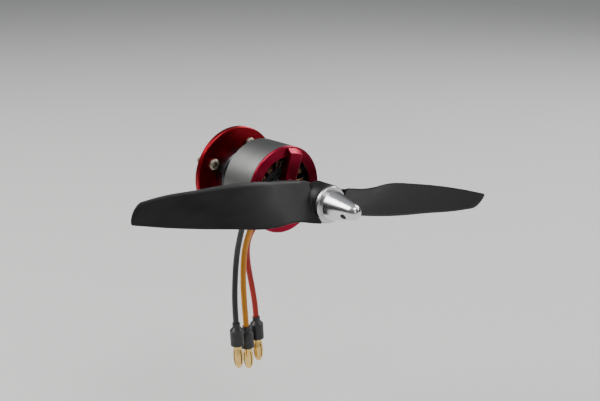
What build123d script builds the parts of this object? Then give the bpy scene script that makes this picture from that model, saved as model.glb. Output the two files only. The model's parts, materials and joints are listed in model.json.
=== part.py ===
from build123d import *
from math import atan, cos, pi, radians, sin, tan
import os

# A 28 mm brushless outrunner with its mounting plate, leads and fixed two-blade propeller.
# Row frame: origin at the centre of the plate's rear face, +Y out of that face, +Z up, so the
# propeller points along -Y.  Turned parts are built on the local axis +Z = forward and are laid
# down by forward(); "z" of a turned part is its distance in front of the plate's rear face.

# ---- mounting plate and its screws -------------------------------------------------------
PLATE_R = 16.0
PLATE_T = 2.0
PLATE_BORE_R = 4.2
PLATE_SCREW_PCD = 22.2
PLATE_SCREW_ANGLE = 62.5
PLATE_HOLE_R = 1.15
SCREW_R = 1.0
SCREW_NECK_R = 0.8
PAN_HEAD_R = 1.9
PAN_HEAD_H = 1.35
PLATE_SCREW_REACH = 6.0
BASE_SCREW_CIRCLE_R = 6.5
BASE_SCREW_END = 5.2
CSK_HEAD_R = 1.9
CSK_HEAD_H = 0.95

# ---- stator side -------------------------------------------------------------------------
FOOT_R = 9.0
FOOT_FRONT = 5.8
NECK_R = 5.9
LEDGE = 15.4
TUBE_R = 4.5
TUBE_FRONT = 24.6
SEAT_R = 3.5
SHOULDER_R = 2.6
STACK_BACK, STACK_FRONT = LEDGE, 22.9
STATOR_R = 11.1
YOKE_R = 6.0
TOOTH_W = 2.0
TIP_INNER_R = 10.3
SLOT_GAP = 1.3
TEETH = 12
COIL_INNER_R, COIL_OUTER_R = 6.4, 9.9
COIL_INNER_HALF, COIL_OUTER_HALF = 1.55, 2.35
END_TURN = 1.9
PHASE_TEETH = {"a": (0, 1, 6, 7), "b": (2, 3, 8, 9), "c": (4, 5, 10, 11)}

# ---- ball bearings 3 x 7 x 3 -------------------------------------------------------------
SHAFT_R = 1.5
BEARING_W = 3.0
INNER_RACE_R = 2.15
OUTER_RACE_R = 2.85
BALL_R = 0.55
BALL_RUN = 0.02
BALLS = 7
BALL_CIRCLE_R = 2.5
CAGE_HALF_W = 0.2
CAGE_H = 1.5
SHIELD_T = 0.15
SHIELD_R = 2.25
REAR_BEARING = 3.2
FRONT_BEARING = TUBE_FRONT - BEARING_W

# ---- rotor can and bell ------------------------------------------------------------------
CAN_R = 14.0
CAN_WALL = 1.3
CAN_BACK, CAN_FRONT = 12.5, 25.5
MAGNETS = 14
MAGNET_INNER_R = 11.45
MAGNET_ARC = 22.0
MAGNET_BACK, MAGNET_FRONT = 14.9, 23.4
RIM_FRONT = 26.3
RIM_INNER_R = 10.5
SPIGOT_BACK = 24.0
SPOKES = 3
SPOKE_ANGLE = 73.0
SPOKE_FRONT = 28.0
SPOKE_RIM_W = 5.4
SPOKE_HUB_W = 4.3
SPOKE_RAMP_R = (12.0, 13.4)
HUB_R = 3.7
HUB_BACK, HUB_FRONT = 25.3, 30.5
SET_SCREW_Z = 27.9
SET_SCREW_L = 2.0

# ---- shaft and retaining clip ------------------------------------------------------------
SHAFT_BACK, SHAFT_FRONT = 1.2, 41.6
CLIP_BACK, CLIP_T = 2.4, 0.5
CLIP_GROOVE_R = 1.2
CLIP_R = 2.9

# ---- propeller adapter -------------------------------------------------------------------
COLLET_BACK = 30.8
COLLET_BACK_R = 3.55
THREAD_R = 3.0
COLLET_FRONT = 51.0
COLLET_SLIT = 0.5
COLLET_SLIT_END = 37.6
FLANGE_BACK, FLANGE_FRONT = 31.6, 39.7
FLANGE_BACK_R, FLANGE_FRONT_R = 4.2, 4.9
PROP_HUB_R = 5.9
PROP_HUB_H = 6.8
WASHER_R = 5.7
WASHER_T = 1.05
NUT_COLLAR_R = 4.5
NUT_COLLAR_H = 0.9
NUT_TIP_R = 2.48
NUT_TIP_H = 1.95
NUT_FLAT_R = 0.6
NUT_L = 11.45
NUT_HOLE_Z = 7.6
NUT_HOLE_R = 0.95
NUT_HOLE_ANGLE = -153.0

# ---- propeller ---------------------------------------------------------------------------
PROP_PITCH = 83.0
PROP_ANGLE = -9.2
MAX_TWIST = 35.9
TIP_RAKE = 6.5
# radius, chord ahead of the blade line (nut side), chord behind it (motor side), thickness
BLADE = [
    (4.5, 7.5, 6.8, 5.0), (8.0, 7.0, 7.1, 4.3), (11.5, 6.35, 7.2, 3.4), (15.0, 6.3, 7.3, 2.8),
    (20.0, 6.9, 7.2, 2.3), (26.0, 6.85, 7.1, 2.0), (36.0, 5.8, 6.8, 1.7), (48.0, 4.6, 5.9, 1.4),
    (60.0, 3.1, 5.2, 1.1), (72.5, 1.1, 3.5, 0.8),
]
BLADE_SPANS = 22
TRAILING_T = 0.35
# the tip's outline: radius, distance across the blade towards the nut side
TIP = [
    (66.6, -5.6), (68.0, -4.15), (69.4, -3.25), (70.2, -2.3), (70.8, -1.2),
    (71.2, 0.0), (71.3, 0.8), (70.9, 1.4), (69.9, 1.9),
]

# ---- leads -------------------------------------------------------------------------------
LEAD_D = 2.0
SLEEVE_R = 1.3
SLEEVE_L = 3.2
CUP_R, CUP_L = 2.0, 5.5
PIN_R, PIN_L = 1.75, 8.5
SLIT_W, SLIT_FROM, SLIT_TO = 0.35, 1.7, 6.8
SHRINK_WALL = 0.35
SHRINK_OVER_LEAD = 2.6
# routes in the row frame, from the sleeve at the windings to the top of the bullet connector
LEAD_ROUTES = {
    "yellow": [
        (0.0, -10.07, -10.63), (0.0, -9.2, -14.2), (0.1, -7.9, -18.6), (0.2, -5.9, -22.6),
        (0.2, -4.6, -26.6), (0.0, -4.1, -31.5), (-0.4, -4.3, -37.5), (-0.6, -4.9, -44.5),
        (-0.3, -5.2, -51.0), (0.1, -5.1, -56.6),
    ],
    "black": [
        (-3.2, -9.9, -10.4), (-3.3, -9.1, -13.9), (-3.3, -7.5, -18.1), (-3.0, -5.8, -22.3),
        (-3.0, -4.6, -26.6), (-3.4, -4.2, -31.8), (-4.2, -4.6, -37.6), (-5.0, -5.4, -43.6),
        (-5.3, -6.1, -49.0), (-5.2, -6.3, -53.6),
    ],
    "red": [
        (3.2, -9.9, -10.4), (3.0, -8.9, -13.8), (2.6, -7.0, -17.8), (2.3, -4.8, -21.6),
        (2.5, -3.1, -25.6), (3.1, -2.3, -30.6), (4.0, -2.3, -36.4), (4.9, -2.9, -43.0),
        (5.4, -3.6, -49.4), (5.5, -3.9, -55.2),
    ],
}


def forward(shape):
    """Lay a part built on +Z down, so that its front points along -Y."""
    return Rot(90, 0, 0) * shape


def save(name, shape):
    export_step(shape, f"parts/{name}.step")


def group(shapes):
    return Compound([solid for shape in shapes for solid in shape.solids()])


def turned(*profile):
    """A body of revolution about Z from (radius, z) corners."""
    outline = make_face(Polyline(*profile, close=True))
    return revolve(Plane.XZ * outline, Axis.Z, 360)


def post(radius, low, high):
    """A plain round bar along Z."""
    return Pos(0, 0, (low + high) / 2) * Cylinder(radius, high - low)


def ring(outer, inner, low, high):
    return post(outer, low, high) - post(inner, low - 1, high + 1)


def on_circle(radius, count, first=0.0):
    """Places round the axis, each turned to face outwards."""
    return [Rot(0, 0, first + 360 * i / count) * Pos(radius, 0, 0) for i in range(count)]


# ---- mounting plate ----------------------------------------------------------------------


def mount_plate():
    edge = 0.3
    plate = turned(
        (PLATE_BORE_R, 0), (PLATE_R - edge, 0), (PLATE_R, edge),
        (PLATE_R, PLATE_T - edge), (PLATE_R - edge, PLATE_T), (PLATE_BORE_R, PLATE_T),
    )
    for place in plate_screw_places():
        plate -= place * post(PLATE_HOLE_R, -1, PLATE_T + 1)
    for place in base_screw_places():
        plate -= place * csk_screw(BASE_SCREW_END, SCREW_R)
    return plate


def plate_screw_places():
    return on_circle(PLATE_SCREW_PCD / 2, 4, PLATE_SCREW_ANGLE)


def base_screw_places():
    return on_circle(BASE_SCREW_CIRCLE_R, 4, PLATE_SCREW_ANGLE + 45)


def cross_recess(depth, reach):
    """Two tapering crossed slots, cutting down from z = 0."""
    slot = Pos(0, 0, 0.5 - depth / 2) * Box(0.5, 2 * reach, depth + 1)
    return slot + Rot(0, 0, 90) * slot


def pan_screw():
    """Head seated on z = 0 and pointing up, its shank waisted inside the plate."""
    head = turned(
        (0, 0), (PAN_HEAD_R, 0), (PAN_HEAD_R, 0.55), (PAN_HEAD_R - 0.18, 0.95),
        (PAN_HEAD_R - 0.6, 1.22), (0.5, PAN_HEAD_H), (0, PAN_HEAD_H),
    )
    tip = 0.4
    reach = PLATE_T + PLATE_SCREW_REACH
    shank = turned(
        (0, 0), (SCREW_NECK_R, 0), (SCREW_NECK_R, -PLATE_T), (SCREW_R, -PLATE_T - 0.2),
        (SCREW_R, tip - reach), (SCREW_R - tip, -reach), (0, -reach),
    )
    return head + shank - Pos(0, 0, PAN_HEAD_H) * cross_recess(0.8, 1.1)


def csk_screw(length, radius):
    """Flush head at z = 0 facing down, shank above."""
    return turned((0, 0), (CSK_HEAD_R, 0), (radius, CSK_HEAD_H), (radius, length), (0, length))


def base_screw():
    return csk_screw(BASE_SCREW_END, SCREW_R) - Rot(180, 0, 0) * cross_recess(0.6, 0.9)


# ---- stator ------------------------------------------------------------------------------


def stator_base():
    """Foot, neck and bearing tube in one turned piece, with tapped holes from behind."""
    front_seat = TUBE_FRONT - BEARING_W
    rear_seat = REAR_BEARING + BEARING_W
    base = turned(
        (SEAT_R, PLATE_T), (FOOT_R, PLATE_T), (FOOT_R, FOOT_FRONT - 0.6),
        (FOOT_R - 0.6, FOOT_FRONT), (NECK_R + 0.8, FOOT_FRONT), (NECK_R, FOOT_FRONT + 0.8),
        (NECK_R, LEDGE), (TUBE_R, LEDGE), (TUBE_R, TUBE_FRONT), (SEAT_R, TUBE_FRONT),
        (SEAT_R, front_seat), (SHOULDER_R, front_seat), (SHOULDER_R, rear_seat), (SEAT_R, rear_seat),
    )
    for place in base_screw_places():
        base -= place * post(SCREW_R, 0, BASE_SCREW_END)
    return base


def stator_core():
    """The lamination stack: yoke, twelve teeth and their tips."""
    plan = Circle(YOKE_R) + (Circle(STATOR_R) - Circle(TIP_INNER_R))
    for i in range(TEETH):
        plan += Rot(0, 0, 360 * i / TEETH) * Pos((YOKE_R + TIP_INNER_R) / 2, 0) * Rectangle(5.6, TOOTH_W)
    for i in range(TEETH):
        plan -= Rot(0, 0, 360 * (i + 0.5) / TEETH) * Pos(STATOR_R, 0) * Rectangle(3, SLOT_GAP)
    plan -= Circle(TUBE_R)
    return Pos(0, 0, STACK_BACK) * extrude(plan, STACK_FRONT - STACK_BACK)


def coil():
    """One tooth's winding, on the tooth along +X."""
    height = STACK_FRONT - STACK_BACK + 2 * END_TURN
    plan = make_face(Polyline(
        (COIL_INNER_R, -COIL_INNER_HALF), (COIL_OUTER_R, -COIL_OUTER_HALF),
        (COIL_OUTER_R, COIL_OUTER_HALF), (COIL_INNER_R, COIL_INNER_HALF), close=True,
    ))
    block = Pos(0, 0, STACK_BACK - END_TURN) * extrude(plan, height)
    shoulders = [e for e in block.edges() if abs(e.tangent_at(0.5).X) > 0.9]
    block = fillet(shoulders, 1.2)
    middle = (STACK_BACK + STACK_FRONT) / 2
    return block - Pos(8, 0, middle) * Box(8, TOOTH_W, STACK_FRONT - STACK_BACK)


def winding(teeth):
    one = coil()
    return group(Rot(0, 0, 360 * i / TEETH) * one for i in teeth)


# ---- bearings ----------------------------------------------------------------------------


def ball_groove():
    return Torus(BALL_CIRCLE_R, BALL_R + BALL_RUN)


def outer_race():
    return ring(SEAT_R, OUTER_RACE_R, -BEARING_W / 2, BEARING_W / 2) - ball_groove()


def inner_race():
    return ring(INNER_RACE_R, SHAFT_R, -BEARING_W / 2, BEARING_W / 2) - ball_groove()


def shields():
    inset = BEARING_W / 2 - 0.1
    front = ring(OUTER_RACE_R, SHIELD_R, inset - SHIELD_T, inset)
    return group([front, Rot(180, 0, 0) * front])


def balls():
    return group(place * Sphere(BALL_R) for place in on_circle(BALL_CIRCLE_R, BALLS))


def cage():
    body = ring(BALL_CIRCLE_R + CAGE_HALF_W, BALL_CIRCLE_R - CAGE_HALF_W, -CAGE_H / 2, CAGE_H / 2)
    for place in on_circle(BALL_CIRCLE_R, BALLS):
        body -= place * Rot(0, 90, 0) * Cylinder(BALL_R + BALL_RUN, 1.4)
    return body


def save_bearing(end, back):
    centre = Pos(0, 0, back + BEARING_W / 2)
    pieces = {
        "outer_race": outer_race(), "inner_race": inner_race(), "shields": shields(),
        "balls": balls(), "cage": cage(),
    }
    for piece, shape in pieces.items():
        save(f"{end}_bearing_{piece}", forward(centre * shape))


# ---- can, magnets and bell ---------------------------------------------------------------


def flux_ring():
    bore = CAN_R - CAN_WALL
    edge = 0.25
    return turned(
        (bore, CAN_BACK + edge), (bore + edge, CAN_BACK), (CAN_R - edge, CAN_BACK),
        (CAN_R, CAN_BACK + edge), (CAN_R, CAN_FRONT - edge), (CAN_R - edge, CAN_FRONT),
        (bore, CAN_FRONT),
    )


def magnets():
    bore = CAN_R - CAN_WALL
    bar = ring(bore, MAGNET_INNER_R, MAGNET_BACK, MAGNET_FRONT)
    half = radians(MAGNET_ARC / 2)
    far, side = 20 * cos(half), 20 * sin(half)
    wedge = make_face(Polyline((0, 0), (far, -side), (far, side), close=True))
    bar = bar & extrude(wedge, CAN_FRONT)
    return group(Rot(0, 0, 360 * i / MAGNETS) * bar for i in range(MAGNETS))


def spoke():
    """A tapering spoke along +X, its front edges rounded."""
    inner, outer = HUB_R - 1.2, CAN_R - 0.5
    plan = make_face(Polyline(
        (inner, -SPOKE_HUB_W / 2), (outer, -SPOKE_RIM_W / 2),
        (outer, SPOKE_RIM_W / 2), (inner, SPOKE_HUB_W / 2), close=True,
    ))
    bar = Pos(0, 0, CAN_FRONT) * extrude(plan, SPOKE_FRONT - CAN_FRONT)
    front = [e for e in bar.edges() if e.center().Z > SPOKE_FRONT - 0.1]
    return fillet([e for e in front if abs(e.tangent_at(0.5).X) > 0.9], 0.45)


def bell():
    bore = CAN_R - CAN_WALL
    edge = 0.3
    shape = turned(
        (RIM_INNER_R, CAN_FRONT), (RIM_INNER_R + 0.9, SPIGOT_BACK), (bore, SPIGOT_BACK), (bore, CAN_FRONT),
        (CAN_R, CAN_FRONT), (CAN_R, RIM_FRONT - edge), (CAN_R - edge, RIM_FRONT), (RIM_INNER_R, RIM_FRONT),
    )
    boss = INNER_RACE_R - 0.05
    shape += turned(
        (SHAFT_R, TUBE_FRONT), (boss, TUBE_FRONT), (boss, HUB_BACK), (HUB_R, HUB_BACK),
        (HUB_R, HUB_FRONT - 0.9), (HUB_R - 0.9, HUB_FRONT), (SHAFT_R, HUB_FRONT),
    )
    near, far = SPOKE_RAMP_R
    ramp = turned((near, SPOKE_FRONT), (far, RIM_FRONT), (20, RIM_FRONT), (20, 30), (near, 30))
    one = spoke() - ramp
    for i in range(SPOKES):
        shape += Rot(0, 0, SPOKE_ANGLE + 360 * i / SPOKES) * one
    for place in set_screw_places():
        shape -= place * Rot(0, 90, 0) * post(SCREW_R, -0.4, 8)
    return shape


def set_screw_places():
    first = SPOKE_ANGLE - 180 / SPOKES
    return [Rot(0, 0, first + turn) * Pos(SHAFT_R + 0.02, 0, SET_SCREW_Z) for turn in (0, 120)]


def set_screw():
    """A grub screw along +X from the shaft, with a hexagon socket in its outer end."""
    body = Rot(0, 90, 0) * post(SCREW_R, 0, SET_SCREW_L)
    socket = Pos(SET_SCREW_L - 0.9, 0, 0) * Rot(0, 90, 0) * extrude(RegularPolygon(0.52, 6), 2)
    return body - socket


# ---- shaft -------------------------------------------------------------------------------


def shaft():
    edge = 0.3
    bar = turned(
        (0, SHAFT_BACK), (SHAFT_R - edge, SHAFT_BACK), (SHAFT_R, SHAFT_BACK + edge),
        (SHAFT_R, SHAFT_FRONT - edge), (SHAFT_R - edge, SHAFT_FRONT), (0, SHAFT_FRONT),
    )
    return bar - ring(3, CLIP_GROOVE_R, CLIP_BACK - 0.02, CLIP_BACK + CLIP_T + 0.02)


def shaft_clip():
    """E-clip: three prongs grip the groove, open to one side."""
    clip = ring(CLIP_R, 2.1, CLIP_BACK, CLIP_BACK + CLIP_T)
    for angle in (90, 180, 270):
        prong = Rot(0, 0, angle) * Pos(1.75, 0, CLIP_BACK + CLIP_T / 2) * Box(1.0, 0.9, CLIP_T)
        clip += prong
    clip -= post(CLIP_GROOVE_R + 0.02, 0, 5)
    return clip - Pos(3, 0, CLIP_BACK) * Box(4, 2.4, 3)


def thrust_washer():
    return ring(INNER_RACE_R, SHAFT_R + 0.02, CLIP_BACK + CLIP_T, REAR_BEARING)


# ---- propeller adapter -------------------------------------------------------------------


def collet_cone():
    """Radii of the collet's taper at the back and front of the drive flange."""
    slope = (COLLET_BACK_R - THREAD_R) / (FLANGE_FRONT - COLLET_BACK)
    return COLLET_BACK_R - slope * (FLANGE_BACK - COLLET_BACK), THREAD_R


def prop_collet():
    edge = 0.35
    body = turned(
        (0, COLLET_BACK), (COLLET_BACK_R, COLLET_BACK), (THREAD_R, FLANGE_FRONT),
        (THREAD_R, COLLET_FRONT - edge), (THREAD_R - edge, COLLET_FRONT), (0, COLLET_FRONT),
    )
    body -= post(SHAFT_R, COLLET_BACK - 1, SHAFT_FRONT + 0.3)
    slit_l = COLLET_SLIT_END - COLLET_BACK + 1
    slit = Pos(0, 0, COLLET_SLIT_END - slit_l / 2) * Box(COLLET_SLIT, 12, slit_l)
    return body - slit - Rot(0, 0, 90) * slit


def drive_flange():
    back_bore, front_bore = collet_cone()
    return turned(
        (back_bore, FLANGE_BACK), (FLANGE_BACK_R - 0.3, FLANGE_BACK), (FLANGE_BACK_R, FLANGE_BACK + 0.3),
        (FLANGE_BACK_R, FLANGE_BACK + 4.6), (FLANGE_FRONT_R, FLANGE_FRONT - 2.0),
        (FLANGE_FRONT_R, FLANGE_FRONT), (front_bore, FLANGE_FRONT),
    )


def prop_washer():
    low = FLANGE_FRONT + PROP_HUB_H
    edge = 0.2
    return turned(
        (THREAD_R, low), (WASHER_R, low), (WASHER_R, low + WASHER_T - edge),
        (WASHER_R - edge, low + WASHER_T), (THREAD_R, low + WASHER_T),
    )


def spinner_nut():
    """Bullet-shaped nut with a tommy-bar hole across its nose."""
    low = FLANGE_FRONT + PROP_HUB_H + WASHER_T
    high = low + NUT_L
    collar = low + NUT_COLLAR_H
    flank = Line((NUT_COLLAR_R, collar), (NUT_TIP_R, high - NUT_TIP_H))
    nose = TangentArc(flank @ 1, (NUT_FLAT_R, high), tangent=flank % 1)
    outline = make_face([
        Line((THREAD_R, low), (NUT_COLLAR_R, low)), Line((NUT_COLLAR_R, low), (NUT_COLLAR_R, collar)),
        flank, nose, Line((NUT_FLAT_R, high), (0, high)), Line((0, high), (0, COLLET_FRONT)),
        Line((0, COLLET_FRONT), (THREAD_R, COLLET_FRONT)), Line((THREAD_R, COLLET_FRONT), (THREAD_R, low)),
    ])
    nut = revolve(Plane.XZ * outline, Axis.Z, 360)
    hole = Pos(0, 0, low + NUT_HOLE_Z) * Rot(0, 90, 0) * Cylinder(NUT_HOLE_R, 20)
    return nut - Rot(0, 0, NUT_HOLE_ANGLE) * hole


# ---- propeller ---------------------------------------------------------------------------


def blade_values(radius):
    """Chord ahead, chord behind and thickness at a radius, smoothly between the stations."""
    i = max(k for k in range(len(BLADE) - 1) if BLADE[k][0] <= radius)
    span = BLADE[i + 1][0] - BLADE[i][0]
    t = (radius - BLADE[i][0]) / span
    values = []
    for column in (1, 2, 3):
        start, end = BLADE[i][column], BLADE[i + 1][column]
        rise_in, rise_out = blade_slope(i, column) * span, blade_slope(i + 1, column) * span
        values.append(
            start + (rise_in + (3 * (end - start) - 2 * rise_in - rise_out) * t) * t
            + (rise_in + rise_out - 2 * (end - start)) * t**3
        )
    return values


def blade_slope(i, column):
    low, high = BLADE[max(i - 1, 0)], BLADE[min(i + 1, len(BLADE) - 1)]
    return (high[column] - low[column]) / (high[0] - low[0])


def blade_section(radius):
    """A flat-faced aerofoil across the blade: flat towards the nut, arched towards the motor."""
    ahead, behind, thickness = blade_values(radius)
    twist = min(atan(PROP_PITCH / (2 * pi * radius)), radians(MAX_TWIST))
    middle = FLANGE_FRONT + PROP_HUB_H / 2 + TIP_RAKE * (radius / 70) ** 2
    chord = ahead + behind
    plane = Plane(
        origin=(radius, 0, middle), x_dir=(0, cos(twist), sin(twist)), z_dir=(1, 0, 0),
    )
    face = 0.35 * thickness
    arch = Spline(
        (-behind, face - 0.5 * thickness), (-behind + 0.1 * chord, face - 0.85 * thickness),
        (-behind + 0.36 * chord, face - thickness), (-behind + 0.7 * chord, face - 0.72 * thickness),
        (ahead, face - TRAILING_T), tangents=[(0.15, -1), (1, 0.12)],
    )
    nose = Line((-behind + 0.04 * chord, face), (-behind, face - 0.5 * thickness))
    back = Line((ahead, face - TRAILING_T), (ahead, face))
    flat = Line((ahead, face), (-behind + 0.04 * chord, face))
    return plane * make_face([arch, back, flat, nose])


def blade():
    first, last = BLADE[0][0], BLADE[-1][0]
    radii = [first + (last - first) * i / BLADE_SPANS for i in range(BLADE_SPANS)]
    body = loft([blade_section(radius) for radius in radii + [last - 0.001]], ruled=True)
    return body - beyond_tip()


def beyond_tip():
    """All that lies outside the tip's outline, seen along the motor's axis."""
    outline = make_face([
        Spline(*TIP), Polyline(TIP[-1], (TIP[-1][0], 20), (90, 20), (90, -20), (TIP[0][0], -20), TIP[0]),
    ])
    return Pos(0, 0, FLANGE_FRONT - 10) * extrude(outline, 40)


def propeller():
    low, high = FLANGE_FRONT, FLANGE_FRONT + PROP_HUB_H
    one = blade()
    prop = post(PROP_HUB_R, low, high) + one + Rot(0, 0, 180) * one
    clear = PROP_HUB_R + 0.15
    prop -= ring(clear, 0.5, high, high + 6)
    prop -= ring(clear, 0.5, low - 6, low)
    prop -= post(THREAD_R, low - 8, high + 8)
    return Rot(0, 0, PROP_ANGLE) * prop


# ---- leads and connectors ----------------------------------------------------------------


def lead_radii(route):
    """Bend radii: 0.45 of the shorter run over the tangent of half the turn."""
    points = [Vector(*p) for p in route]
    runs = [b - a for a, b in zip(points, points[1:])]
    radii = []
    for before, after in zip(runs, runs[1:]):
        half_turn = radians(before.get_angle(after)) / 2
        radii.append(0.45 * min(before.length, after.length) / tan(half_turn))
    return radii


def lead(name, route):
    radii = lead_radii(route)
    path = FilletPolyline(*route, radius=radii)
    section = Plane(origin=path @ 0, z_dir=path % 0) * Circle(LEAD_D / 2)
    tube = sweep(section, path=path)
    expected = pi * (LEAD_D / 2) ** 2 * path.length
    print(f"lead_{name} radii", [round(r, 1) for r in radii])
    print(f"lead_{name} length {path.length:.2f} volume {tube.volume:.2f} of {expected:.2f}")
    return tube


def end_plane(route, first):
    """A plane at a route's end whose +Z runs away from the lead."""
    tip, inner = (route[0], route[1]) if first else (route[-1], route[-2])
    return Plane(origin=tip, z_dir=Vector(*tip) - Vector(*inner))


def sleeve(route):
    """Shrink tube over the joint between a winding's tail and its lead."""
    return end_plane(route, True) * post(SLEEVE_R, 0, SLEEVE_L)


def bullet(route):
    """Gold bullet: solder cup at the lead, then a slit, springy pin with a rounded tip."""
    end = CUP_L + PIN_L
    body = turned(
        (0, 0), (CUP_R, 0), (CUP_R, CUP_L), (PIN_R - 0.35, CUP_L + 0.4), (PIN_R - 0.3, CUP_L + 1.2),
        (PIN_R, CUP_L + 3.0), (PIN_R, CUP_L + 5.5), (PIN_R - 0.35, end - 1.2), (PIN_R - 0.8, end - 0.3),
        (PIN_R - 1.15, end), (0, end),
    )
    slit = Pos(0, 0, CUP_L + (SLIT_FROM + SLIT_TO) / 2) * Box(SLIT_W, 5, SLIT_TO - SLIT_FROM)
    return end_plane(route, False) * (body - slit - Rot(0, 0, 90) * slit)


def connector_shrink(route):
    """Shrink tube over the solder cup, drawn down onto the lead."""
    wall, neck = SHRINK_WALL, LEAD_D / 2
    tube = turned(
        (neck, -SHRINK_OVER_LEAD), (neck + wall, -SHRINK_OVER_LEAD), (neck + wall, -1.2),
        (CUP_R + wall, 0.0), (CUP_R + wall, CUP_L), (CUP_R, CUP_L), (CUP_R, 0), (neck, 0),
    )
    return end_plane(route, False) * tube


def save_leads():
    save("lead_sleeves", group(sleeve(route) for route in LEAD_ROUTES.values()))
    for name, route in LEAD_ROUTES.items():
        save(f"lead_{name}", lead(name, route))
        save(f"bullet_connector_{name}", bullet(route))
        save(f"connector_shrink_{name}", connector_shrink(route))


# ---- the assembly ------------------------------------------------------------------------


def main():
    os.makedirs("parts", exist_ok=True)
    seat = Pos(0, 0, PLATE_T)
    pan, grub = pan_screw(), set_screw()
    turned_parts = {
        "mount_plate": mount_plate(),
        "plate_screws": group(place * seat * pan for place in plate_screw_places()),
        "base_screws": group(place * base_screw() for place in base_screw_places()),
        "stator_base": stator_base(),
        "stator_core": stator_core(),
        "flux_ring": flux_ring(),
        "magnets": magnets(),
        "bell": bell(),
        "set_screws": group(place * grub for place in set_screw_places()),
        "shaft": shaft(),
        "shaft_clip": shaft_clip(),
        "thrust_washer": thrust_washer(),
        "prop_collet": prop_collet(),
        "drive_flange": drive_flange(),
        "propeller": propeller(),
        "prop_washer": prop_washer(),
        "spinner_nut": spinner_nut(),
    }
    for phase, teeth in PHASE_TEETH.items():
        turned_parts[f"windings_phase_{phase}"] = winding(teeth)
    for name, shape in turned_parts.items():
        save(name, forward(shape))
    save_bearing("rear", REAR_BEARING)
    save_bearing("front", FRONT_BEARING)
    save_leads()


main()
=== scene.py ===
import json
import random
from math import atan, cos, pi, radians, sin

import bpy
from mathutils import Matrix, Vector


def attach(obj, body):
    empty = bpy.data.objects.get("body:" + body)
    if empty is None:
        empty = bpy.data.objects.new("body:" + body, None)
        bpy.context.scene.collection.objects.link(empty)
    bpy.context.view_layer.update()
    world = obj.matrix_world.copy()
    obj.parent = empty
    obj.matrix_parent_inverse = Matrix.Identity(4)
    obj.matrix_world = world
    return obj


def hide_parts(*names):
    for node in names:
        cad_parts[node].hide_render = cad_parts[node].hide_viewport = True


# The looks of a brushless outrunner motor with its propeller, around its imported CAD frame.
# Row frame: +Y out of the mounting plate's rear face, +Z up, propeller towards -Y.
# "front" below is a distance in millimetres in front of the plate's rear face, along -Y.

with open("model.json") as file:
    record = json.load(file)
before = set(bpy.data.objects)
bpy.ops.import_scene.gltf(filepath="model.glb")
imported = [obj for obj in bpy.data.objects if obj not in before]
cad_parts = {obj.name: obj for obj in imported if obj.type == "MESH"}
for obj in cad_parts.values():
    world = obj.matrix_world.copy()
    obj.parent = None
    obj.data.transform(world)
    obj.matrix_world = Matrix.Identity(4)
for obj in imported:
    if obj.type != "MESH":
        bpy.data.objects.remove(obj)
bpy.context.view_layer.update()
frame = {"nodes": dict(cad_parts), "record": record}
NODES = frame["nodes"]
MM = 0.001

# ---- sizes repeated from the CAD, in millimetres ------------------------------------------

LEAD_D = 2.0
LEAD_ROUTES = {
    "yellow": [
        (0.0, -10.07, -10.63), (0.0, -9.2, -14.2), (0.1, -7.9, -18.6), (0.2, -5.9, -22.6),
        (0.2, -4.6, -26.6), (0.0, -4.1, -31.5), (-0.4, -4.3, -37.5), (-0.6, -4.9, -44.5),
        (-0.3, -5.2, -51.0), (0.1, -5.1, -56.6),
    ],
    "black": [
        (-3.2, -9.9, -10.4), (-3.3, -9.1, -13.9), (-3.3, -7.5, -18.1), (-3.0, -5.8, -22.3),
        (-3.0, -4.6, -26.6), (-3.4, -4.2, -31.8), (-4.2, -4.6, -37.6), (-5.0, -5.4, -43.6),
        (-5.3, -6.1, -49.0), (-5.2, -6.3, -53.6),
    ],
    "red": [
        (3.2, -9.9, -10.4), (3.0, -8.9, -13.8), (2.6, -7.0, -17.8), (2.3, -4.8, -21.6),
        (2.5, -3.1, -25.6), (3.1, -2.3, -30.6), (4.0, -2.3, -36.4), (4.9, -2.9, -43.0),
        (5.4, -3.6, -49.4), (5.5, -3.9, -55.2),
    ],
}

PLATE_T = 2.0
SCREW_CIRCLE_R, FIRST_SCREW = 11.1, 62.5
SCREW_R, SCREW_NECK_R, SCREW_END = 1.0, 0.8, -6.0
THREAD_PITCH, THREAD_ROOT_R, THREAD_START, THREAD_RUNOUT = 0.4, 0.8, -0.1, 0.35
THREAD_INSET, THREAD_TAPER = 0.005, 0.25
# the pan head: radius and height above its seat
PAN_HEAD = [
    (1.85, 0.0), (1.9, 0.06), (1.9, 0.5), (1.86, 0.7), (1.74, 0.93), (1.5, 1.12), (1.1, 1.27),
    (0.6, 1.35),
]
RECESS_REACH, RECESS_W, RECESS_DEPTH, RECESS_END_REACH = 1.1, 0.5, 0.8, 0.55

TEETH = 12
TOOTH_W = 2.0
STACK_BACK, STACK_FRONT = 15.4, 22.9
PHASE_TEETH = {"a": (0, 1, 6, 7), "b": (2, 3, 8, 9), "c": (4, 5, 10, 11)}
WIRE_R, WIRE_SIDES = 0.2, 6
# first and last radius and number of turns of each layer of wire on a tooth
WIRE_LAYERS = [(6.65, 9.65, 8), (6.95, 9.65, 7), (8.55, 9.65, 3)]
# jumper wires behind the coils: first and last angle in degrees, radius and front
JUMPERS = [
    (20, 130, 6.9, 13.1), (140, 262, 7.2, 12.8), (282, 375, 6.9, 12.9), (60, 215, 7.6, 12.7),
]
# angle in degrees of the coil that each lead's winding tail comes from
TAIL_ANGLES = {"yellow": 270, "black": 246, "red": 294}

HUB_BACK, HUB_H, HUB_R, HUB_EDGE, HUB_CLEARANCE, BORE_R = 39.7, 6.8, 5.9, 0.25, 0.15, 3.0
PROP_PITCH, PROP_ANGLE, MAX_TWIST, TIP_RAKE = 83.0, -9.2, 35.9, 6.5
# least thickness, share of the thickness ahead of the blade's axis, and where on the chord the
# arched side is highest
TRAILING_T, FACE_SHARE, CREST = 0.35, 0.35, 0.36
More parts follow.
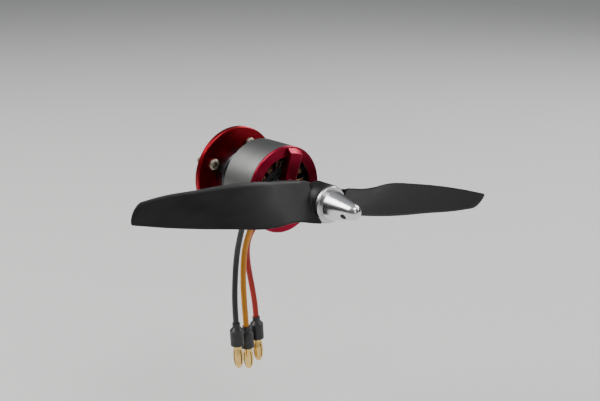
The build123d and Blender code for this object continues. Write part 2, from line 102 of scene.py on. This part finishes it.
# how far out the tip ends, at shares of the chord from the motor-side edge
TIP = [
    (0.0, 67.9), (0.07, 68.8), (0.15, 69.4), (0.3, 70.1), (0.5, 70.7), (0.72, 71.1), (0.87, 71.2),
    (0.95, 71.1), (1.0, 70.8),
]
# radius, chord ahead of and behind the blade's axis, thickness
BLADE = [
    (4.5, 7.5, 6.8, 5.0), (8.0, 7.0, 7.1, 4.3), (11.5, 6.35, 7.2, 3.4), (15.0, 6.3, 7.3, 2.8),
    (20.0, 6.9, 7.2, 2.3), (26.0, 6.85, 7.1, 2.0), (36.0, 5.8, 6.8, 1.7), (48.0, 4.6, 5.9, 1.4),
    (60.0, 3.1, 5.2, 1.1), (72.5, 1.1, 3.5, 0.8),
]

# ---- stage -------------------------------------------------------------------------------

CAMERA_AZIMUTH, CAMERA_ELEVATION = radians(-41.45), radians(17.34)
CAMERA_TARGET = Vector((2.79, -30.11, -3.23)) * MM
CAMERA_DISTANCE = 300.1 * MM
CAMERA_LENS = 57.28
LIGHT_AIM = Vector((0, -0.03, -0.005))
FLOOR_Z, FLOOR_HALF = -0.1, 6.0


def new_object(name, data):
    obj = bpy.data.objects.new(name, data)
    bpy.context.scene.collection.objects.link(obj)
    return obj


def make_camera():
    back = Vector((
        sin(CAMERA_AZIMUTH) * cos(CAMERA_ELEVATION),
        -cos(CAMERA_AZIMUTH) * cos(CAMERA_ELEVATION),
        sin(CAMERA_ELEVATION),
    ))
    data = bpy.data.cameras.new("camera")
    data.sensor_width = 36
    data.lens = CAMERA_LENS
    data.clip_start, data.clip_end = 0.01, 20
    camera = new_object("camera", data)
    camera.location = CAMERA_TARGET + back * CAMERA_DISTANCE
    camera.rotation_euler = back.to_track_quat("Z", "Y").to_euler()
    bpy.context.scene.camera = camera


def area_light(name, place, size, energy, color):
    data = bpy.data.lights.new(name, "AREA")
    data.shape = "RECTANGLE"
    data.size, data.size_y = size
    data.energy = energy
    data.color = color
    light = new_object(name, data)
    light.location = place
    light.rotation_euler = (Vector(place) - LIGHT_AIM).to_track_quat("Z", "Y").to_euler()


def make_world():
    """A pale room, lighter overhead, so that metals have something to show."""
    world = bpy.data.worlds.new("studio")
    world.use_nodes = True
    bpy.context.scene.world = world
    nodes, links = world.node_tree.nodes, world.node_tree.links
    place = nodes.new("ShaderNodeTexCoord")
    split = nodes.new("ShaderNodeSeparateXYZ")
    ramp = nodes.new("ShaderNodeValToRGB")
    height = nodes.new("ShaderNodeMapRange")
    height.inputs["From Min"].default_value = -1
    stops = ramp.color_ramp.elements
    stops[0].position, stops[0].color = 0.0, (0.22, 0.21, 0.20, 1)
    stops[1].position, stops[1].color = 1.0, (0.45, 0.46, 0.48, 1)
    for position, level in ((0.48, 0.16), (0.54, 0.05), (0.70, 0.12)):
        stop = stops.new(position)
        stop.color = (level, level, level * 1.02, 1)
    links.new(place.outputs["Generated"], split.inputs[0])
    links.new(split.outputs["Z"], height.inputs["Value"])
    links.new(height.outputs[0], ramp.inputs[0])
    links.new(ramp.outputs[0], nodes["Background"].inputs["Color"])
    nodes["Background"].inputs["Strength"].default_value = 0.9


def make_floor():
    mesh = bpy.data.meshes.new("floor")
    signs = ((-1, -1), (1, -1), (1, 1), (-1, 1))
    corners = [(x * FLOOR_HALF, y * FLOOR_HALF, FLOOR_Z) for x, y in signs]
    mesh.from_pydata(corners, [], [(0, 1, 2, 3)])
    floor = new_object("floor", mesh)
    look = Look("floor_pale", (0.72, 0.72, 0.71), roughness=0.85)
    grain = look.noise(look.place(), 60, 4)
    look.bump(grain, 0.1, 0.001)
    mesh.materials.append(look.material)


def make_stage():
    make_camera()
    make_world()
    make_floor()
    area_light("key", (-0.52, 0.42, 0.78), (0.7, 0.6), 11, (1.0, 0.99, 0.97))
    area_light("right", (0.8, -0.03, 0.62), (0.4, 0.4), 4, (0.97, 0.98, 1.0))
    area_light("overhead", (0.0, -0.6, 0.85), (0.5, 0.25), 3.5, (1, 1, 1))
    area_light("front", (-0.22, -0.93, 0.30), (0.14, 0.14), 0.6, (1, 1, 1))
    area_light("front_right", (0.73, -0.46, 0.46), (0.24, 0.2), 1.15, (1, 1, 1))


# ---- material tools ----------------------------------------------------------------------


class Look:
    """A material with one Principled shader, and short calls for the nodes that feed it."""

    def __init__(self, name, color, roughness=0.5, metallic=0.0, **sockets):
        self.material = bpy.data.materials.new(name)
        self.material.use_nodes = True
        self.nodes = self.material.node_tree.nodes
        self.links = self.material.node_tree.links
        self.shader = self.nodes["Principled BSDF"]
        self.set("Base Color", color)
        self.set("Roughness", roughness)
        self.set("Metallic", metallic)
        for socket, value in sockets.items():
            self.set(socket.replace("_", " ").title().replace("Ior", "IOR"), value)

    def set(self, socket, value):
        """Give a shader socket a constant, or link it to another node's output."""
        target = self.shader.inputs[socket]
        if isinstance(value, bpy.types.NodeSocket):
            self.links.new(value, target)
        elif hasattr(value, "__len__") and len(value) == 3:
            target.default_value = (*value, 1)
        else:
            target.default_value = value

    def feed(self, node, **inputs):
        """Fill a node's inputs by name, or by number as i0, i1 and so on."""
        for key, value in inputs.items():
            number = key[1:]
            target = node.inputs[int(number) if number.isdigit() else key.title()]
            if isinstance(value, bpy.types.NodeSocket):
                self.links.new(value, target)
            elif value is not None:
                target.default_value = value
        return node

    def place(self):
        return self.nodes.new("ShaderNodeTexCoord").outputs["Object"]

    def math(self, operation, a, b=None):
        node = self.nodes.new("ShaderNodeMath")
        node.operation = operation
        return self.feed(node, i0=a, i1=b).outputs[0]

    def split(self, vector):
        return self.feed(self.nodes.new("ShaderNodeSeparateXYZ"), i0=vector).outputs

    def turned(self, fine, around):
        """Coordinates that stretch detail round the motor's axis: radius, length and angle."""
        x, y, z = self.split(self.place())
        squares = self.math("ADD", self.math("MULTIPLY", x, x), self.math("MULTIPLY", z, z))
        radius = self.math("SQRT", squares)
        angle = self.math("ARCTAN2", z, x)
        join = self.nodes.new("ShaderNodeCombineXYZ")
        return self.feed(
            join, i0=self.math("MULTIPLY", radius, fine), i1=self.math("MULTIPLY", y, fine),
            i2=self.math("MULTIPLY", angle, around),
        ).outputs[0]

    def stretched(self, x, y, z):
        node = self.nodes.new("ShaderNodeMapping")
        node.inputs["Scale"].default_value = (x, y, z)
        return self.feed(node, i0=self.place()).outputs[0]

    def noise(self, vector, scale, detail=3.0, roughness=0.55):
        node = self.nodes.new("ShaderNodeTexNoise")
        self.feed(node, vector=vector, scale=scale, detail=detail, roughness=roughness)
        return node.outputs["Fac"]

    def cells(self, vector, scale):
        node = self.nodes.new("ShaderNodeTexVoronoi")
        return self.feed(node, vector=vector, scale=scale).outputs["Distance"]

    def range(self, value, low, high, start=0.0, end=1.0):
        node = self.nodes.new("ShaderNodeMapRange")
        return self.feed(node, i0=value, i1=start, i2=end, i3=low, i4=high).outputs[0]

    def mix(self, amount, a, b):
        node = self.nodes.new("ShaderNodeMix")
        node.data_type = "RGBA"
        pick = {s.name: s for s in node.inputs if s.type == "RGBA"}
        factor = node.inputs[0]
        for target, value in ((factor, amount), (pick["A"], a), (pick["B"], b)):
            if isinstance(value, bpy.types.NodeSocket):
                self.links.new(value, target)
            else:
                target.default_value = (*value, 1) if hasattr(value, "__len__") else value
        return next(s for s in node.outputs if s.type == "RGBA")

    def blend(self, a, b):
        """Six parts of a with four of b."""
        return self.math("ADD", self.math("MULTIPLY", a, 0.6), self.math("MULTIPLY", b, 0.4))

    def tone(self, value, start, end, a, b):
        """Base colour from a to b as the value goes from start to end."""
        self.set("Base Color", self.mix(self.range(value, 0, 1, start, end), a, b))

    def edges(self, radius):
        """About 1 on edges sharper than the surface, 0 on flat ground."""
        bevel = self.nodes.new("ShaderNodeBevel")
        bevel.samples = 6
        bevel.inputs["Radius"].default_value = radius
        normal = self.nodes.new("ShaderNodeNewGeometry").outputs["Normal"]
        dot = self.nodes.new("ShaderNodeVectorMath")
        dot.operation = "DOT_PRODUCT"
        same = self.feed(dot, i0=bevel.outputs[0], i1=normal).outputs["Value"]
        return self.range(same, 1.0, 0.0, 0.80, 0.985)

    def round_edges(self, radius):
        """A normal that rounds the shading over sharp edges."""
        bevel = self.nodes.new("ShaderNodeBevel")
        bevel.samples = 8
        bevel.inputs["Radius"].default_value = radius
        return bevel.outputs[0]

    def bump(self, height, strength, distance, under=None):
        node = self.nodes.new("ShaderNodeBump")
        node.inputs["Strength"].default_value = strength
        node.inputs["Distance"].default_value = distance
        self.feed(node, height=height)
        if under is not None:
            self.links.new(under, node.inputs["Normal"])
        self.links.new(node.outputs[0], self.shader.inputs["Normal"])
        return node.outputs[0]


# ---- materials ---------------------------------------------------------------------------


def anodised(name, color, shade, wear):
    """Dyed anodised aluminium with faint turning marks and bare metal on the sharpest edges."""
    look = Look(name, color, metallic=0.96, coat_weight=0.08, coat_roughness=0.18)
    lines = look.noise(look.turned(2600, 0.8), 1.0, 4)
    cloud = look.noise(look.place(), 220, 3)
    dyed = look.mix(look.range(cloud, 0, 1, 0.3, 0.75), color, shade)
    rubbed = look.range(look.noise(look.place(), 900, 4), 0, wear, 0.45, 0.7)
    worn = look.math("MULTIPLY", look.edges(0.00012), rubbed)
    look.set("Base Color", look.mix(worn, dyed, (0.75, 0.72, 0.72)))
    look.set("Roughness", look.range(lines, 0.24, 0.42))
    look.bump(lines, 0.35, 0.00002, under=look.round_edges(0.00018))
    return look.material


def turned_metal(name, color, rough, lines_depth, stain=0.06):
    """Bare metal off a lathe: fine rings round the axis and a slightly uneven tone."""
    look = Look(name, color, metallic=1.0)
    lines = look.noise(look.turned(3400, 0.6), 1.0, 5, 0.65)
    smudge = look.noise(look.place(), 140, 4)
    dark = tuple(c * (1 - 3 * stain) for c in color)
    look.tone(smudge, 0.35, 0.8, color, dark)
    low, high = rough
    look.set("Roughness", look.range(look.blend(lines, smudge), low, high, 0.3, 0.7))
    look.bump(lines, 0.5, lines_depth, under=look.round_edges(0.00012))
    return look.material


def plain_metal(name, color, rough, grain_scale=900):
    """Small plated or ground parts: a fine random grain and darker patches at random."""
    look = Look(name, color, metallic=1.0)
    grain = look.noise(look.place(), grain_scale, 4)
    dark_patch_noise = look.noise(look.place(), 260, 3)
    dark = tuple(c * 0.55 for c in color)
    # darker patches, down to 0.55 of the colour, placed by noise at random
    look.set("Base Color", look.mix(look.range(dark_patch_noise, 0, 0.6, 0.35, 0.75), color, dark))
    low, high = rough
    look.set("Roughness", look.range(grain, low, high, 0.3, 0.7))
    look.bump(grain, 0.3, 0.00001)
    return look.material


def lamination_steel():
    """Stacked sheet steel under epoxy, with a groove between the sheets."""
    sheet = 0.00035
    look = Look("lamination_stack", (0.05, 0.05, 0.055), metallic=0.6, roughness=0.45)
    along = look.split(look.place())[1]
    wave = look.math("SINE", look.math("MULTIPLY", along, 2 * pi / sheet))
    grain = look.noise(look.place(), 700, 4)
    look.tone(grain, 0.35, 0.7, (0.035, 0.036, 0.04), (0.10, 0.10, 0.105))
    look.bump(wave, 0.5, 0.00003)
    return look.material


def enamelled_copper():
    """Varnished winding wire, with random patches darkened almost to black as painted shade for the
    windings under the bell.
    """
    look = Look(
        "enamelled_copper", (0.40, 0.16, 0.06), metallic=0.95, coat_weight=0.7, coat_roughness=0.1,
    )
    patch = look.noise(look.place(), 500, 4)
    # painted shade: the second colour darkens the wire nearly to black, as in the shade under the
    # bell
    look.tone(patch, 0.35, 0.7, (0.30, 0.16, 0.075), (0.04, 0.017, 0.008))
    look.set("Roughness", look.range(patch, 0.10, 0.24))
    look.bump(look.noise(look.place(), 2500, 3), 0.2, 0.00001)
    return look.material


def moulded_nylon():
    """Glass-filled black nylon: satin, with a fine grain and faint flow marks along the blade."""
    look = Look("moulded_nylon", (0.01, 0.01, 0.011), specular_ior_level=0.27)
    flow = look.noise(look.stretched(60, 400, 400), 1.0, 4)
    grain = look.cells(look.place(), 2600)
    speck = look.noise(look.place(), 1800, 2)
    look.tone(flow, 0.3, 0.75, (0.0055, 0.0055, 0.0058), (0.011, 0.011, 0.0115))
    look.set("Roughness", look.range(look.blend(flow, speck), 0.36, 0.56, 0.3, 0.7))
    fine = look.bump(grain, 0.12, 0.00003, under=look.round_edges(0.0006))
    look.bump(flow, 0.15, 0.00008, under=fine)
    return look.material


def silicone(name, color, shade):
    """Silicone wire insulation: soft sheen, slightly dusty, with faint waviness."""
    look = Look(name, color, specular_ior_level=0.4, sheen_weight=0.12, sheen_roughness=0.5)
    dust = look.noise(look.place(), 420, 5)
    wave = look.noise(look.stretched(150, 150, 60), 1.0, 2)
    look.tone(dust, 0.4, 0.85, color, shade)
    look.set("Roughness", look.range(dust, 0.38, 0.6))
    fine = look.bump(look.noise(look.place(), 3000, 2), 0.15, 0.00003)
    look.bump(wave, 0.25, 0.0002, under=fine)
    return look.material


def shrink_plastic():
    """Heat-shrink tube with faint wrinkles round it."""
    look = Look("shrink_plastic", (0.013, 0.013, 0.014), specular_ior_level=0.5)
    wrinkle = look.noise(look.stretched(300, 300, 900), 1.0, 3)
    look.tone(wrinkle, 0.4, 0.8, (0.011, 0.011, 0.012), (0.03, 0.03, 0.03))
    look.set("Roughness", look.range(wrinkle, 0.3, 0.55))
    look.bump(wrinkle, 0.4, 0.0001)
    return look.material


def make_materials():
    crimson, crimson_shade = (0.32, 0.004, 0.032), (0.21, 0.0025, 0.018)
    dark_red, dark_red_shade = (0.34, 0.004, 0.014), (0.24, 0.003, 0.009)
    return {
        "plate_anodised": anodised("plate_red", dark_red, dark_red_shade, 0.35),
        "bell_anodised": anodised("bell_crimson", crimson, crimson_shade, 0.5),
        "dark_anodised": anodised("base_grey", (0.10, 0.10, 0.105), (0.055, 0.055, 0.06), 0.3),
        "can_steel": turned_metal("can_nickel", (0.20, 0.204, 0.20), (0.40, 0.56), 0.00003),
        "screw_steel": plain_metal("screw_zinc", (0.40, 0.36, 0.285), (0.38, 0.56)),
        "black_steel": plain_metal("black_oxide", (0.05, 0.05, 0.055), (0.35, 0.55)),
        "shaft_steel": turned_metal("shaft_ground", (0.62, 0.62, 0.62), (0.12, 0.25), 0.00001),
        "bearing_steel": turned_metal("bearing_ground", (0.60, 0.60, 0.60), (0.15, 0.3), 0.00001),
        "cage_brass": plain_metal("cage_brass", (0.60, 0.42, 0.15), (0.25, 0.4)),
        "lamination": lamination_steel(),
        "copper_wire": enamelled_copper(),
        "magnet": plain_metal("magnet_nickel", (0.45, 0.44, 0.42), (0.25, 0.4)),
        "bright_aluminium": turned_metal(
            "aluminium_turned", (0.66, 0.66, 0.67), (0.22, 0.36), 0.00001, 0.03,
        ),
        "polished_aluminium": turned_metal(
            "aluminium_polished", (0.80, 0.80, 0.81), (0.15, 0.30), 0.00002, 0.05,
        ),
        "prop_plastic": moulded_nylon(),
        "silicone_yellow": silicone("silicone_yellow", (0.62, 0.235, 0.004), (0.50, 0.17, 0.004)),
        "silicone_black": silicone("silicone_black", (0.016, 0.014, 0.02), (0.03, 0.028, 0.03)),
        "silicone_red": silicone("silicone_red", (0.40, 0.012, 0.008), (0.28, 0.008, 0.006)),
        "shrink_tube": shrink_plastic(),
        "gold_plate": plain_metal("gold_plate", (0.86, 0.58, 0.20), (0.14, 0.3), 1500),
    }


def dress_cad(looks):
    """Give every CAD node the look of its own slot."""
    for entry in frame["record"]["subparts"]:
        mesh = NODES[entry["node"]].data
        mesh.materials.clear()
        mesh.materials.append(looks[entry["material_slot"]])


# ---- mesh tools --------------------------------------------------------------------------


def mesh_object(name, verts, faces, look, sharp=None):
    """A smooth-shaded object, with edges over the sharp angle in degrees kept hard."""
    mesh = bpy.data.meshes.new(name)
    mesh.from_pydata(verts, [], faces)
    mesh.validate()
    mesh.polygons.foreach_set("use_smooth", [True] * len(mesh.polygons))
    if sharp is not None:
        mesh.set_sharp_from_angle(angle=radians(sharp))
    mesh.materials.append(look)
    return new_object(name, mesh)


def tube(points, radius, sides, verts, faces):
    """Add a round tube with closed ends along points to the lists."""
    start = len(verts)
    side = Vector((0, 0, 1))
    for i, point in enumerate(points):
        ahead = (points[min(i + 1, len(points) - 1)] - points[max(i - 1, 0)]).normalized()
        along = side.dot(ahead)
        side = (side - ahead * along).normalized() if abs(along) < 0.999 else ahead.orthogonal()
        other = ahead.cross(side)
        for k in range(sides):
            turn = 2 * pi * k / sides
            verts.append(point + side * (radius * cos(turn)) + other * (radius * sin(turn)))
    for i in range(len(points) - 1):
        a = start + i * sides
        for k in range(sides):
            n = (k + 1) % sides
            faces.append((a + k, a + n, a + sides + n, a + sides + k))
    faces.append(tuple(start + k for k in reversed(range(sides))))
    last = start + (len(points) - 1) * sides
    faces.append(tuple(last + k for k in range(sides)))


def on_axis(radius, angle, front):
    """A point at a radius and angle round the motor's axis, in metres."""
    return Vector((radius * cos(angle), -front, radius * sin(angle))) * MM


# ---- windings ----------------------------------------------------------------------------


def signed_power(value, power):
    return abs(value) ** power * (1 if value >= 0 else -1)


def coil_points(tooth, rng):
    """Wire wound round one tooth in layers, each a squarish helix along the tooth."""
    angle = 2 * pi * tooth / TEETH
    outward = Vector((cos(angle), 0, sin(angle)))
    across = Vector((-sin(angle), 0, cos(angle)))
    middle = (STACK_BACK + STACK_FRONT) / 2
    steps = 28
    square = 0.42
    jitter = 0.015
    # in wire radii: gap over the stack's ends, and rise of each layer beside and over the tooth
    end_gap, rise_beside, rise_over = 1.3, 1.85, 2.1
    runs = []
    for layer, (first, last, turns) in enumerate(WIRE_LAYERS):
        if layer % 2:
            first, last = last, first
        half_w = TOOTH_W / 2 + WIRE_R + layer * rise_beside * WIRE_R
        half_h = (STACK_FRONT - STACK_BACK) / 2 + end_gap * WIRE_R + layer * rise_over * WIRE_R
        points = []
        for i in range(turns * steps + 1):
            turn = 2 * pi * i / steps
            radius = first + (last - first) * i / (turns * steps) + rng.uniform(-jitter, jitter)
            wide = half_w * signed_power(cos(turn), square)
            tall = half_h * signed_power(sin(turn), square)
            points.append((outward * radius + across * wide + Vector((0, -middle - tall, 0))) * MM)
        runs.append(points)
    return runs


def make_windings(look):
    rng = random.Random(12)
    for phase, teeth in PHASE_TEETH.items():
        verts, faces = [], []
        for tooth in teeth:
            for points in coil_points(tooth, rng):
                tube(points, WIRE_R * MM, WIRE_SIDES, verts, faces)
        coil = mesh_object(f"wound_phase_{phase}", verts, faces, look)
        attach(coil, "stator")
        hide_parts(f"windings_phase_{phase}")


def curve_through(points, steps):
    """Points along a Catmull-Rom curve through the given ones."""
    out = []
    padded = [points[0] * 2 - points[1], *points, points[-1] * 2 - points[-2]]
    for i in range(len(points) - 1):
        a, b, c, d = padded[i:i + 4]
        for k in range(steps):
            t = k / steps
            bend, swing = 2 * a - 5 * b + 4 * c - d, 3 * b - a - 3 * c + d
            out.append(0.5 * (2 * b + (c - a) * t + bend * t**2 + swing * t**3))
    out.append(points[-1])
    return out


def make_tails(look):
    """The wire ends: jumpers along the back of the coils, and twisted tails into the sleeves."""
    verts, faces = [], []
    for start, end, radius, front in JUMPERS:
        arc = []
        for i in range(25):
            angle = radians(start + (end - start) * i / 24)
            lift = sin(pi * i / 24) ** 0.4
            arc.append(on_axis(radius + 0.15 * sin(5 * angle), angle, front + 0.8 - lift))
        tube(arc, WIRE_R * MM, WIRE_SIDES, verts, faces)
    for name, angle in TAIL_ANGLES.items():
        exit_point, after = (Vector(point) * MM for point in LEAD_ROUTES[name][:2])
        back = (exit_point - after).normalized()
        inside = exit_point + back * 2.2 * MM
        mouth = exit_point + back * 3.2 * MM
        coil_end = on_axis(8.0, radians(angle), 14.6)
        bend = on_axis(7.7, radians(angle), 13.0)
        line = curve_through([coil_end, bend, mouth + back * 0.5 * MM, inside], 10)
        for strand in range(3):
            twisted = []
            for i, point in enumerate(line):
                turn = 2 * pi * (strand / 3 + i / 18)
                offset = Vector((cos(turn), sin(turn) * 0.6, sin(turn) * 0.6))
                twisted.append(point + offset * 0.28 * MM)
            tube(twisted, 0.85 * WIRE_R * MM, WIRE_SIDES, verts, faces)
    tails = mesh_object("winding_tails", verts, faces, look)
    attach(tails, "stator")


# ---- propeller ---------------------------------------------------------------------------


def blade_slope(i, column):
    low, high = BLADE[max(i - 1, 0)], BLADE[min(i + 1, len(BLADE) - 1)]
    return (high[column] - low[column]) / (high[0] - low[0])


def blade_values(radius):
    """Chord ahead, chord behind and thickness at a radius, smoothly between the stations."""
    i = max(k for k in range(len(BLADE) - 1) if BLADE[k][0] <= radius)
    span = BLADE[i + 1][0] - BLADE[i][0]
    t = (radius - BLADE[i][0]) / span
    values = []
    for column in (1, 2, 3):
        start, end = BLADE[i][column], BLADE[i + 1][column]
        rise_in, rise_out = blade_slope(i, column) * span, blade_slope(i + 1, column) * span
        values.append(
            start + (rise_in + (3 * (end - start) - 2 * rise_in - rise_out) * t) * t
            + (rise_in + rise_out - 2 * (end - start)) * t**3
        )
    return values


def section_outline(count):
    """Closed outline: shares of the chord from the rear edge and of the thickness from the flat,
    and whether the point is on the arched side."""
    outline = []
    for i in range(count + 1):
        share = (1 - cos(pi * i / count)) / 2
        if share < CREST:
            depth = 0.5 + 0.5 * sin(pi / 2 * share / CREST) ** 0.7 if share > 0 else 0.5
        else:
            depth = 1 - ((share - CREST) / (1 - CREST)) ** 1.8
        outline.append((share, depth, True))
    for i in range(count + 1):
        share = (1 + cos(pi * i / count)) / 2
        outline.append((share, 0.0 if share > 0.03 else 0.22, False))
    return outline


def tip_radius(share):
    """How far out the tip ends at a share of the chord."""
    for (near, low), (far, high) in zip(TIP, TIP[1:]):
        if share <= far:
            return low + (high - low) * (share - near) / (far - near)
    return TIP[-1][1]


def blade_rings():
    """The blade's twisted section at each step from inside the hub to the tip."""
    spans = 46
    tip_fade = 0.55
    outline = section_outline(14)
    rings = []
    first = BLADE[0][0]
    for row in range(spans + 1):
        ring = []
        along = row / spans
        for share, depth, arched in outline:
            radius = first + (tip_radius(share) - first) * along
            ahead, behind, thickness = blade_values(min(radius, BLADE[-1][0] - 0.001))
            twist = min(atan(PROP_PITCH / (2 * pi * radius)), radians(MAX_TWIST))
            chordwise = -behind + (ahead + behind) * share
            floor_t = TRAILING_T / thickness
            deep = max(depth, floor_t) if arched else depth
            height = thickness * (FACE_SHARE - deep)
            fade = 1.0 if along < 1 else tip_fade
            lift = HUB_BACK + HUB_H / 2 + TIP_RAKE * (radius / 70) ** 2
            up = chordwise * cos(twist) - height * fade * sin(twist)
            forward = lift + chordwise * sin(twist) + height * fade * cos(twist)
            ring.append(Vector((radius, -forward, up)) * MM)
        rings.append(ring)
    return rings


def blade_mesh(angle, look):
    """One closed blade, turned about the motor's axis."""
    verts, faces = [], []
    turn = Matrix.Rotation(-angle, 4, "Y")
    rings = blade_rings()
    count = len(rings[0])
    for ring in rings:
        verts += [turn @ point for point in ring]
    for row in range(len(rings) - 1):
        for k in range(count):
            n = (k + 1) % count
            a = row * count
            faces.append((a + k, a + n, a + count + n, a + count + k))
    half = count // 2
    last = (len(rings) - 1) * count
    for k in range(half - 1):
        strip = (k, k + 1, count - 2 - k, count - 1 - k)
        faces.append(tuple(reversed(strip)))
        faces.append(tuple(last + v for v in strip))
    return mesh_object("blade", verts, faces, look)


def lathe(name, profile, look):
    """A closed body of revolution about the motor's axis from (radius, front) corners."""
    segments = 96
    verts, faces = [], []
    for k in range(segments):
        angle = 2 * pi * k / segments
        verts += [on_axis(radius, angle, front) for radius, front in profile]
    count = len(profile)
    for k in range(segments):
        a, b = k * count, (k + 1) % segments * count
        for i in range(count):
            n = (i + 1) % count
            faces.append((a + i, b + i, b + n, a + n))
    return mesh_object(name, verts, faces, look, 30)


def combine(base, other, operation):
    """Join the other body to the base, or cut it away, and drop it."""
    modifier = base.modifiers.new("join", "BOOLEAN")
    modifier.operation = operation
    modifier.solver = "MANIFOLD"
    modifier.object = other
    bpy.context.view_layer.update()
    evaluated = base.evaluated_get(bpy.context.evaluated_depsgraph_get())
    merged = bpy.data.meshes.new_from_object(evaluated)
    base.modifiers.clear()
    base.data = merged
    bpy.data.objects.remove(other)


def make_propeller(look):
    """Hub and both blades in one mesh, with the blade roots trimmed flush at the hub's faces."""
    low, high = HUB_BACK, HUB_BACK + HUB_H
    prop = lathe("propeller_moulded", [
        (BORE_R, low), (HUB_R - HUB_EDGE, low), (HUB_R, low + HUB_EDGE), (HUB_R, high - HUB_EDGE),
        (HUB_R - HUB_EDGE, high), (BORE_R, high),
    ], look)
    clear = HUB_R + HUB_CLEARANCE
    overlap = 0.03
    for turn in (0, pi):
        one = blade_mesh(radians(PROP_ANGLE) + turn, look)
        for back, front in ((low - 6, low + overlap), (high - overlap, high + 6)):
            corners = [(0.01, back), (clear, back), (clear, front), (0.01, front)]
            combine(one, lathe("clear", corners, look), "DIFFERENCE")
        combine(prop, one, "UNION")
    prop.data.set_sharp_from_angle(angle=radians(60))
    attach(prop, "rotor")
    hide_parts("propeller")


# ---- leads -------------------------------------------------------------------------------


def make_lead(name, look):
    route = [Vector(point) * MM for point in LEAD_ROUTES[name]]
    data = bpy.data.curves.new(f"wire_{name}", "CURVE")
    data.dimensions = "3D"
    data.bevel_depth = LEAD_D / 2 * MM
    data.bevel_resolution = 6
    data.resolution_u = 12
    data.use_fill_caps = True
    spline = data.splines.new("NURBS")
    spline.points.add(len(route) - 1)
    for point, place in zip(spline.points, route):
        point.co = (*place, 1)
    spline.order_u = 3
    spline.use_endpoint_u = True
    data.materials.append(look)
    wire = new_object(f"wire_{name}", data)
    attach(wire, "stator")
    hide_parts(f"lead_{name}")
    bpy.context.view_layer.update()


# ---- plate screws ------------------------------------------------------------------------


def thread_radius(front, angle):
    """Radius of a right-hand thread that runs out at both ends."""
    phase = (front / THREAD_PITCH - angle / (2 * pi)) % 1
    ridge = 1 - abs(2 * phase - 1)
    from_ends = min(THREAD_START - front, front - SCREW_END)
    depth = (SCREW_R - THREAD_ROOT_R) * min(1, max(0, from_ends / THREAD_RUNOUT))
    taper = min(THREAD_TAPER, max(0, THREAD_RUNOUT - (front - SCREW_END)))
    return SCREW_R - THREAD_INSET - taper - depth * (1 - ridge)


def one_screw(look, place):
    """Pan head, waist inside the plate and thread behind it, as rings from the crown to the tip."""
    sides = 28
    rows = [lambda angle, r=r, h=h: (r, PLATE_T + h) for r, h in reversed(PAN_HEAD)]
    rows += [lambda angle: (SCREW_NECK_R, PLATE_T), lambda angle: (SCREW_NECK_R, 0.0)]
    steps = int((THREAD_START - SCREW_END) / THREAD_PITCH * 6)
    for i in range(steps + 1):
        front = THREAD_START + (SCREW_END - THREAD_START) * i / steps
        rows.append(lambda angle, f=front: (thread_radius(f, angle), f))
    verts, faces = [], []
    for row in rows:
        for k in range(sides):
            angle = 2 * pi * k / sides
            radius, front = row(angle)
            verts.append(on_axis(radius, angle, front))
    for i in range(len(rows) - 1):
        for k in range(sides):
            a, b = i * sides + k, i * sides + (k + 1) % sides
            faces.append((a, a + sides, b + sides, b))
    faces.append(tuple(range(sides)))
    faces.append(tuple(reversed(range((len(rows) - 1) * sides, len(rows) * sides))))
    screw = mesh_object("pan_screw", verts, faces, look, 40)
    top = PLATE_T + PAN_HEAD[-1][1]
    for turn in (0, pi / 2):
        combine(screw, slot_cutter(top, turn + 0.4, look), "DIFFERENCE")
    screw.data.set_sharp_from_angle(angle=radians(35))
    screw.data.transform(Matrix.Translation(place))
    return screw


def slot_cutter(top, turn, look):
    """A tapering slot that starts clear of the head's crown and cuts rearwards into it."""
    verts = []
    mouth = (top + 0.3, RECESS_REACH + 0.1, RECESS_W)
    floor = (top - RECESS_DEPTH, RECESS_END_REACH, RECESS_W * 0.7)
    for front, reach, width in (mouth, floor):
        for side, rise in ((-1, -1), (1, -1), (1, 1), (-1, 1)):
            x, z = side * reach, rise * width / 2
            across, up = x * cos(turn) - z * sin(turn), x * sin(turn) + z * cos(turn)
            verts.append(Vector((across, -front, up)) * MM)
    faces = [(0, 1, 2, 3), (7, 6, 5, 4), (4, 5, 1, 0), (5, 6, 2, 1), (6, 7, 3, 2), (7, 4, 0, 3)]
    return mesh_object("slot", verts, faces, look)


def make_plate_screws(look):
    screws = []
    for i in range(4):
        place = on_axis(SCREW_CIRCLE_R, radians(FIRST_SCREW + 90 * i), 0)
        screws.append(one_screw(look, place))
    with bpy.context.temp_override(active_object=screws[0], selected_editable_objects=screws):
        bpy.ops.object.join()
    screws[0].name = "pan_screws"
    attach(screws[0], "stator")
    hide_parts("plate_screws")


# ---- the model ---------------------------------------------------------------------------


def main():
    looks = make_materials()
    make_stage()
    for name in LEAD_ROUTES:
        make_lead(name, looks[f"silicone_{name}"])
    dress_cad(looks)
    make_windings(looks["copper_wire"])
    make_tails(looks["copper_wire"])
    make_plate_screws(looks["screw_steel"])
    make_propeller(looks["prop_plastic"])


main()
